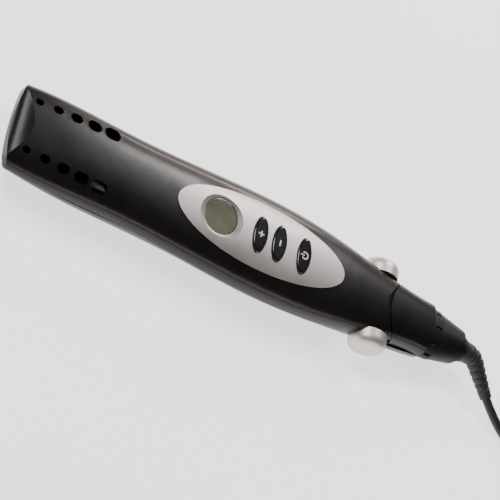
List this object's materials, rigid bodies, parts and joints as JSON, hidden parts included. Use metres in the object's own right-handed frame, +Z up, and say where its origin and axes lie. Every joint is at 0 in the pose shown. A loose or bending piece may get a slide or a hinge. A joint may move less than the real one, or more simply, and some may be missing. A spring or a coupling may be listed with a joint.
{
  "type": "hair straightener",
  "caption": "Closed black hair straightener lying flat: tapered arms, silver oval control panel, side hinge knobs, notched rear collar and tied power cord with a flat-blade plug.",
  "frame": {"origin": "under the middle of the iron without its free cord, on the surface it rests on", "axes": "+X from the plate end to the cord end, +Y across, +Z up from the lower arm to the upper arm"},
  "size_m": [0.544, 0.0751, 0.0285],
  "materials": {
    "gloss_black_plastic": "gloss",
    "satin_black_plastic": "satin",
    "silver_plastic": "satin",
    "lcd_glass": "gloss",
    "button_plastic": "gloss",
    "champagne_metal": "polished",
    "ceramic_plate": "gloss",
    "heater_ceramic": "matte",
    "spring_steel": "satin",
    "screw_steel": "satin",
    "heat_resin": "matte",
    "silicone": "matte",
    "board_laminate": "satin",
    "bronze_bush": "satin",
    "cord_rubber": "matte",
    "plug_plastic": "matte",
    "blade_brass": "polished",
    "terminal_nylon": "matte"
  },
  "bodies": {
    "lower_arm": {"collar_ring": "satin_black_plastic", "cord": "cord_rubber", "cord_collar": "satin_black_plastic", "cord_hank": "cord_rubber", "cord_tail": "cord_rubber", "hank_tie": "cord_rubber", "hinge_pin": "screw_steel", "left_hinge_knob": "champagne_metal", "lower_heater": "heater_ceramic", "lower_heater_clip": "spring_steel", "lower_inner_cover": "heat_resin", "lower_plate": "ceramic_plate", "lower_screws": "screw_steel", "lower_shell": "gloss_black_plastic", "lower_temperature_sensor": "heater_ceramic", "lower_thermal_fuse": "heater_ceramic", "opening_spring": "spring_steel", "plate_cushions": "silicone", "plug_blades": "blade_brass", "plug_body": "plug_plastic", "plug_relief": "plug_plastic", "rear_cover": "gloss_black_plastic", "rear_screws": "screw_steel", "right_hinge_knob": "champagne_metal", "strain_relief": "cord_rubber", "swivel_neck": "satin_black_plastic", "terminal_block": "terminal_nylon"},
    "upper_arm": {"upper_shell": "gloss_black_plastic", "upper_inner_cover": "heat_resin", "upper_screws": "screw_steel", "control_panel": "silver_plastic", "lcd_window": "lcd_glass", "lcd_module": "board_laminate", "control_board": "board_laminate", "tact_switches": "satin_black_plastic", "left_hinge_bush": "bronze_bush", "right_hinge_bush": "bronze_bush", "plate_spring": "spring_steel"},
    "upper_plate": {"upper_plate": "ceramic_plate", "upper_heater": "heater_ceramic", "upper_heater_clip": "spring_steel", "upper_temperature_sensor": "heater_ceramic", "upper_thermal_fuse": "heater_ceramic"},
    "button_plus": {"button_plus": "button_plastic", "plunger_plus": "terminal_nylon"},
    "button_minus": {"button_minus": "button_plastic", "plunger_minus": "terminal_nylon"},
    "button_power": {"button_power": "button_plastic", "plunger_power": "terminal_nylon"}
  },
  "joints": [
    {"name": "arm_hinge", "type": "hinge", "parent": "lower_arm", "child": "upper_arm", "pos_m": [0.08405, 0, 0.0135], "axis": [0, 1, 0], "range_deg": [0, 18]},
    {"name": "plate_float", "type": "slide", "parent": "upper_arm", "child": "upper_plate", "axis": [0, 0, 1], "range_m": [0, 0.0006], "stiffness_N_per_m": 3000, "springref_m": -0.001, "deforming": ["plate_spring"]},
    {"name": "plus_press", "type": "slide", "parent": "upper_arm", "child": "button_plus", "axis": [0, 0, -1], "range_m": [0, 0.0005], "stiffness_N_per_m": 800},
    {"name": "minus_press", "type": "slide", "parent": "upper_arm", "child": "button_minus", "axis": [0, 0, -1], "range_m": [0, 0.0005], "stiffness_N_per_m": 800},
    {"name": "power_press", "type": "slide", "parent": "upper_arm", "child": "button_power", "axis": [0, 0, -1], "range_m": [0, 0.0005], "stiffness_N_per_m": 800}
  ]
}
